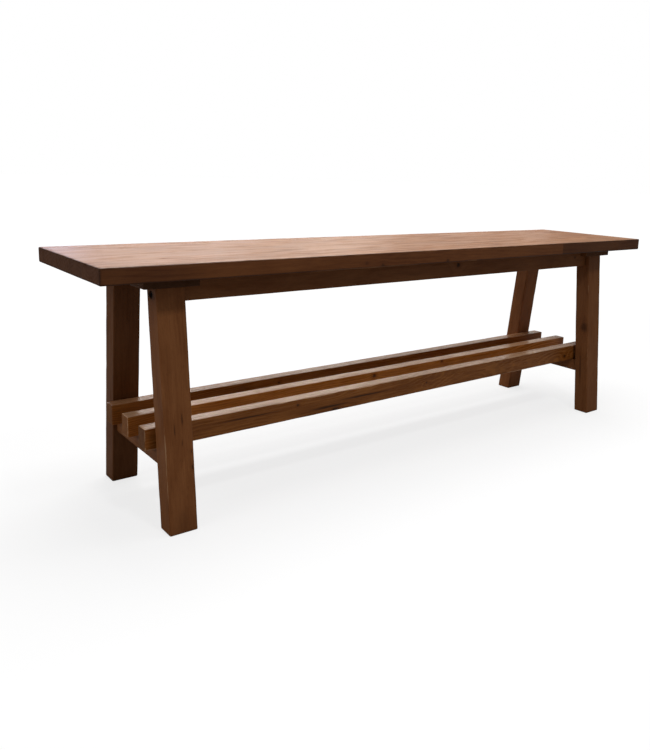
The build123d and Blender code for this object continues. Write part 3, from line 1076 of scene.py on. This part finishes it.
aprons = [
    node_timber("apron_front", seed=10, pith=(0.05, 0.01), turn=0.15, tone=0.42, wear=0.4, marks=(
        ("knot", (0.0876, -0.100, 0.4080), 0.0065, 1.2, 1.0),
        ("knot", (0.5080, -0.100, 0.4047), 0.0045, 1.4, 0.6),
    )),
    node_timber("apron_back", seed=11, pith=(0.045, -0.02), turn=-0.1, tone=0.45, wear=0.4),
]
cleat_side = cleat_low.x - joint_clearance
for board in aprons:
    side = np.sign(board.low[1])
    notches = [
        block(
            (min(end * cleat_side, end), board.low[1] - overcut, leg_top),
            (max(end * cleat_side, end), board.high[1] + overcut, seat_underside + overcut),
        )
        for end in (-1.0, 1.0)
    ]
    bolt_holes = [
        drilled(bolt_radius + hole_clearance, leg_low.x - bolt_tip_x + bottom_clearance, axis="x",
                at=(end * leg_low.x, side * apron_y, bolt_height), way=-end)
        for end in (-1, 1)
    ]
    nut_depth = (board.high[1] - board.low[1] + nut_length) / 2 + bottom_clearance
    nut_holes = [
        drilled(nut_radius + hole_clearance, nut_depth, axis="y",
                at=(end * nut_x, side * apron_low.y, bolt_height), way=side)
        for end in (-1, 1)
    ]
    board.cutters = [notches + bolt_holes + dowel_holes(board, -1), nut_holes]

slats = [
    node_timber("slat_front", seed=12, pith=(0.046, 0.002), turn=0.1, tone=0.42, rubbed=1.0, marks=(
        ("scuff", (-0.6190, -0.0875, 0.1600), 0.0060, 1.0, 0.4),
        ("knot", (0.5224, -0.0875, 0.1449), 0.0050, 1.3, 1.0),
        ("knot", (-0.3147, -0.0875, 0.1591), 0.0035, 1.4, 0.8),
        ("knot", (0.0244, -0.0875, 0.1509), 0.0030, 1.3, 0.8),
        ("knot", (-0.4200, -0.0875, 0.1550), 0.0022, 36.0, 0.8),
        ("knot", (-0.2400, -0.0875, 0.1430), 0.0032, 18.0, 0.9),
        ("knot", (-0.1500, -0.0875, 0.1515), 0.0026, 32.0, 0.9),
        ("knot", (-0.2250, -0.0875, 0.1360), 0.0036, 4.0, 0.9),
        ("arch", (0.1700, -0.0875, 0.1480), 0.0140, 4.0, 1.6),
    )),
    node_timber("slat_middle", seed=13, pith=(0.05, -0.02), turn=0.2, tone=1.35, rubbed=1.0, wear=0.5, marks=(
        ("scuff", (-0.6190, -0.0135, 0.1690), 0.0060, 1.0, 0.3),
        ("knot", (-0.0632, -0.0135, 0.1611), 0.0050, 1.3, 0.9),
        ("knot", (0.1448, -0.0135, 0.1660), 0.0035, 1.5, 0.8),
    )),
    node_timber("slat_back", seed=14, pith=(0.045, 0.03), turn=-0.3, tone=0.70, rubbed=0.35, wear=0.6, marks=(
        ("knot", (-0.2628, 0.0605, 0.1574), 0.0030, 1.5, 0.7),
    )),
]
for board in slats:
    board.cutters = [pilot_holes(board, slat_screw_places, slat_screw_length, rail_thickness, slat_low.z)]


def cross_timber(name, seed, rail, **values):
    """A board that runs from front to back: a cleat, or a rail between leaning legs."""
    low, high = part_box(name)
    end = leg_inner_y((low.z + high.z) / 2) if rail else high.y
    tenon = (*rail_tenon, high.y - end) if rail else None
    return Timber(name, (-end, low.x, low.z), (end, high.x, high.z), grain="rail" if rail else "y",
                  tenons=(tenon, tenon), seed=seed, **values)


cleats = [
    # The left cleat's darker tone is painted shade: its end lies in the seat's shadow
    cross_timber("cleat_left", 15, False, pith=(0.01, 0.04), tone=-0.15, wear=0.3),
    cross_timber("cleat_right", 16, False, pith=(-0.02, 0.05), tone=0.3, wear=0.3),
]
rails = [
    cross_timber("cross_rail_left", 17, True, pith=(0.03, 0.03), tone=0.5, wear=0.4),
    cross_timber("cross_rail_right", 18, True, pith=(0.02, -0.04), tone=0.5, wear=0.4),
]
leg_top_y = (leg_outer_y(leg_top) + leg_inner_y(leg_top)) / 2
wide, deep = (size + joint_clearance for size in leg_tenon)
for board in cleats:
    side = np.sign(board.low[1])
    sockets = [
        block(
            (side * leg_x - wide, row * leg_top_y - deep, leg_top - drill_overcut),
            (side * leg_x + wide, row * leg_top_y + deep, leg_high.z + bottom_clearance),
        )
        for row in (-1, 1)
    ]
    board.cutters = [sockets + screw_holes(board, cleat_screw_places)]
for board in rails:
    board.cutters = [screw_holes(board, slat_screw_places)]

# The seat's arrises get the strongest painted shade line
wood(
    "seat_wood", pale=(0.225, 0.080, 0.023), deep=(0.120, 0.034, 0.008), bare_and_lit=(0.44, 0.20, 0.08),
    ring_width=0.006, wander=0.05, figure=0.38, fibring=0.4, blotching=0.45, sheen=0.33, reach=0.0009,
    arris_shade=0.7,
)
wood(
    "frame_wood", pale=(0.315, 0.120, 0.039), deep=(0.190, 0.060, 0.015), bare_and_lit=(0.46, 0.26, 0.14),
    ring_width=0.006, wander=0.05, figure=0.15, fibring=0.35, blotching=0.5, sheen=0.45, reach=0.0020,
    gloss=1.25,
)
# The slats' very pale bare colour mostly paints light on their tops
wood(
    "slat_wood", pale=(0.400, 0.140, 0.028), deep=(0.200, 0.056, 0.007), bare_and_lit=(0.82, 0.50, 0.29),
    ring_width=0.0035, wander=0.10, figure=-0.60, fibring=0.3, blotching=0.5, sheen=0.23, reach=0.0024,
)
wood(
    "dowel_wood", pale=(0.50, 0.33, 0.19), deep=(0.34, 0.20, 0.10), bare_and_lit=(0.55, 0.38, 0.23),
    ring_width=0.003, wander=0.01, figure=0.3, fibring=0.3, blotching=0.2, sheen=0.6, reach=0.0005,
    marked=False,
)
steel("black_steel", (0.018, 0.018, 0.019), 0.6, 0.35, 1500.0)
steel("plated_steel", (0.62, 0.61, 0.58), 1.0, 0.28, 2500.0)


def finger_cutter(side):
    """The space on one side of the finger joint, as a prism on a zigzag across the front stave."""
    pitch = (stave_edge - seat_low[1]) / finger_count
    slope = pitch / 2 - finger_tip_width
    root = finger_joint_x + finger_length
    zigzag = []
    for start in seat_low[1] + pitch * np.arange(finger_count):
        zigzag += [
            (finger_joint_x, start),
            (finger_joint_x, start + finger_tip_width),
            (root, start + finger_tip_width + slope),
            (root, start + pitch - slope),
        ]
    zigzag[0] = (finger_joint_x, seat_low[1] - overcut)
    zigzag.append((finger_joint_x, stave_edge + overcut))
    near = np.array(zigzag)
    far = np.column_stack([np.full(len(near), side * 1.0), near[:, 1]])
    strip = np.stack([near, far])
    levels = (seat_underside - overcut, seat_top + overcut)
    layers = [np.dstack([strip, np.full(strip.shape[:2], level)]).reshape(-1, 3) for level in levels]
    count = len(near)
    ring = np.concatenate([np.arange(count), np.arange(2 * count - 1, count - 1, -1)])
    walls = np.stack([ring, np.roll(ring, -1), np.roll(ring, -1) + 2 * count, ring + 2 * count], axis=1)
    first = np.arange(count - 1)
    lids = np.stack([first, first + 1, first + 1 + count, first + count], axis=1)
    return np.concatenate(layers), np.concatenate([walls, lids[:, ::-1], lids + 2 * count])


build_timber(front_left, "seat_wood", kept=finger_cutter(-1))
build_timber(front_right, "seat_wood", kept=finger_cutter(1))
for board in seat_boards[2:]:
    build_timber(board, "seat_wood")
for board in legs + aprons + cleats + rails:
    build_timber(board, "frame_wood")
for board in slats:
    build_timber(board, "slat_wood")


# Bolts, screws and dowels


def leg_bolt(x_side, y_side):
    """A bolt with a hexagon socket in its head and a thread to the barrel nut."""
    crown = bolt_head_height
    socket = bolt_socket_width / 2
    shank = crown + bolt_length
    thread_start = shank - bolt_thread_length
    profile = [
        (bolt_socket_depth, 0),
        (bolt_socket_depth, socket, "hexagon"),
        (0.0004, socket, "hexagon"),
        (0, socket + 0.0003, "hexagon"),
        (0, bolt_head_radius - 0.0007),
        (0.0002, bolt_head_radius - 0.0003),
        (0.0007, bolt_head_radius),
        (crown, bolt_head_radius),
        (crown, bolt_radius),
        (thread_start, bolt_radius),
        *threaded(thread_start + 0.0002, shank - 0.001, bolt_radius, bolt_thread),
        (shank, bolt_radius * 0.72),
        (shank, 0),
    ]
    place = (x_side * (bolt_head_x + crown), y_side * apron_y, bolt_height)
    return turned(profile, axis="x", at=place, way=-x_side)


def wood_screw(place, length):
    """A countersunk screw with crossed slots in its head, driven up from a place below."""
    head = screw_head_radius - screw_shank_radius
    plain = length * screw_plain_share
    tip = length - screw_tip_length
    profile = [
        (0.0019, 0),
        (0.0016, 0.0009, "cross"),
        (0.0001, 0.0021, "cross"),
        (0, 0.0022, "cross"),
        (0, screw_head_radius - 0.0004),
        (0.0002, screw_head_radius - 0.0001),
        (head + 0.0001, screw_shank_radius),
        (plain, screw_shank_radius * screw_core_share),
        *threaded(plain + 0.0002, tip, screw_shank_radius, screw_thread),
        *threaded(tip + 0.0003, length - 0.0003, screw_shank_radius, screw_thread, ends=(1.0, 0.2)),
        (length, 0),
    ]
    return turned(profile, sides=24, axis="z", at=place)


def fluted_dowel(place):
    """A dowel with flutes along it and rounded ends."""
    half = dowel_length / 2
    upper = [
        (half - 0.0012, dowel_radius, "fluted"),
        (half - 0.0011, dowel_radius),
        (half - 0.0003, dowel_radius - 0.0004),
        (half, dowel_radius - 0.0010),
        (half, 0),
    ]
    lower = [(-height, *row) for height, *row in upper[::-1]]
    return turned([*lower, (0, dowel_radius, "fluted"), *upper], sides=64, axis="z", at=place)


bolts = [leg_bolt(x_side, y_side) for x_side in (-1, 1) for y_side in (-1, 1)]
cleat_screws = [wood_screw((x, y, leg_top), cleat_screw_length) for x, y in cleat_screw_places]
slat_screws = [wood_screw((x, y, rail_low.z), slat_screw_length) for x, y in slat_screw_places]
dowels = [fluted_dowel((x, y, seat_underside)) for x, y in dowel_places]
build_piece("leg_bolts", bolts, "black_steel")
build_piece("cleat_screws", cleat_screws, "plated_steel")
build_piece("slat_screws", slat_screws, "plated_steel")
dowel_mesh = build_piece("apron_dowels", dowels, "dowel_wood").data

# The dowels' grain runs up, far from any arris, and none of their faces are paled by painted light or wear
dowel_points = read_points(dowel_mesh)
dowel_normals = read_corners(dowel_mesh)[1]
mark_wood(
    dowel_mesh,
    dowel_points[:, [2, 0, 1]] + np.array([0.0, 0.01, 0.04]),
    np.full(len(dowel_points), 0.01),
    dowel_normals[:, 2],
    0.5,
    np.zeros(len(dowel_normals)),
)

for name in ("bolt_washers", "barrel_nuts"):
    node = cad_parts[name]
    node.data.materials.clear()
    node.data.materials.append(materials["plated_steel"])


# The camera, by its place, the way it looks and its tilt, and the photograph's 650 x 750 frame
camera_place = (-1.05995, -1.17487, 0.59816)
camera_yaw = 0.6684
camera_pitch = 0.2034
camera_roll = 0.0349
frame_width = 650
frame_height = 750
focal_pixels = 723.99
centre_pixel = (347.77, 320.27)
sensor_width = 36

heading = np.array([sin(camera_yaw), cos(camera_yaw), 0])
forward = cos(camera_pitch) * heading - sin(camera_pitch) * np.array([0, 0, 1])
level = np.array([cos(camera_yaw), -sin(camera_yaw), 0])
upright = np.cross(level, forward)
right = cos(camera_roll) * level + sin(camera_roll) * upright
up = -sin(camera_roll) * level + cos(camera_roll) * upright

camera_data = bpy.data.cameras.new("camera")
camera_data.sensor_width = sensor_width
camera_data.lens = focal_pixels * sensor_width / frame_height
camera_data.shift_x = (frame_width / 2 - centre_pixel[0]) / frame_height
camera_data.shift_y = (centre_pixel[1] - frame_height / 2) / frame_height
camera_data.clip_start = 0.01
camera = placed("camera", camera_data)
turned_axes = np.eye(4)
turned_axes[:3, 0] = right
turned_axes[:3, 1] = up
turned_axes[:3, 2] = -forward
turned_axes[:3, 3] = camera_place
camera.matrix_world = Matrix(turned_axes.tolist())
bpy.context.scene.camera = camera
bpy.context.scene.view_settings.view_transform = "Standard"


# Floor, world and lamps
floor_size = 30.0
floor_tone = 0.25
floor_fade = (1.2, 4.0)
floor_glow = 0.77
floor_sheen = 0.02
world_light = 0.165
world_sheen = 0.37


def seen_share(w, sheen):
    """1 for camera rays, the sheen's share for glossy and transmission rays, or else 0."""
    path = w.add("ShaderNodeLightPath").outputs
    mirrored = w.math("ADD", path["Is Glossy Ray"], path["Is Transmission Ray"], clamp=True)
    return w.math("MULTIPLY_ADD", mirrored, sheen, path["Is Camera Ray"])


def make_floor():
    """A plain pale floor that keeps the bench's shadow.

    Its glow makes it white to the camera where the lamps reach it, and rises to full white away
    from the bench, so that it fades into the background.
    """
    mesh = bpy.data.meshes.new("floor")
    corners = [(floor_size * x, floor_size * y, 0) for x, y in ((-1, -1), (1, -1), (1, 1), (-1, 1))]
    mesh.from_pydata(corners, [], [(0, 1, 2, 3)])
    floor = placed("floor", mesh)
    w = new_material("floor")
    place = w.add("ShaderNodeTexCoord").outputs["Object"]
    away = w.rise(w.vector("LENGTH", place), *floor_fade)
    strength = w.times(seen_share(w, floor_sheen), w.plus(floor_glow, (away, 1 - floor_glow)))
    matt = w.add("ShaderNodeBsdfDiffuse", {"Color": (floor_tone, floor_tone, floor_tone, 1)})
    bright = w.add("ShaderNodeEmission", {"Color": (1, 1, 1, 1), "Strength": strength})
    both = w.add("ShaderNodeAddShader", {0: matt.outputs[0], 1: bright.outputs[0]})
    w.add("ShaderNodeOutputMaterial", {"Surface": both.outputs[0]})
    mesh.materials.append(materials["floor"])


def make_world():
    """White to camera rays, pale to glossy and transmission rays, and a soft grey light to the rest."""
    world = bpy.data.worlds.new("studio")
    bpy.context.scene.world = world
    world.use_nodes = True
    world.node_tree.nodes.clear()
    w = Wiring(world.node_tree)
    seen = seen_share(w, (world_sheen - world_light) / (1 - world_light))
    light = w.mix(seen, (world_light, world_light, world_light, 1), (1.0, 1.0, 1.0, 1))
    back = w.add("ShaderNodeBackground", {"Color": light, "Strength": 1.0})
    w.add("ShaderNodeOutputWorld", {"Surface": back.outputs[0]})


def add_lamp(name, place, aim, size, watts, tint=(1, 1, 1)):
    """A soft rectangular lamp at a place, turned towards its aim."""
    data = bpy.data.lights.new(name, "AREA")
    data.shape = "RECTANGLE"
    data.size = size[0]
    data.size_y = size[1]
    data.energy = watts
    data.color = tint
    lamp = placed(name, data)
    way = np.array(aim, float) - np.array(place, float)
    lamp.location = place
    lamp.rotation_mode = "QUATERNION"
    lamp.rotation_quaternion = Vector(way.tolist()).to_track_quat("-Z", "Y")


make_floor()
make_world()
add_lamp("overhead", (0.35, 0.2, 2.6), (0.35, 0, 0.4), (2.4, 1.6), 60.0)
add_lamp("front_above", (-0.3, -1.75, 2.75), (0, 0, 0.2), (0.3, 0.3), 16.0)
add_lamp("left", (-2.6, -0.3, 1.3), (0, 0, 0.3), (1.2, 1.2), 8.8)
add_lamp("back_left", (-0.35, 2.4, 0.75), (0, 0, 0.4), (0.95, 0.32), 4.4, (0.66, 0.72, 1))
add_lamp("back_right", (2.35, 2.4, 0.72), (0.5, 0, 0.4), (1.8, 0.26), 4.0, (1, 0.89, 0.80))
add_lamp("upper_left", (0.5, 2.4, 1.28), (0, 0, 0.2), (0.9, 0.26), 6.4, (1, 0.89, 0.84))
add_lamp("upper_right", (1.45, 2.4, 1.28), (0.2, 0, 0.2), (0.9, 0.26), 4.0, (1, 0.89, 0.80))
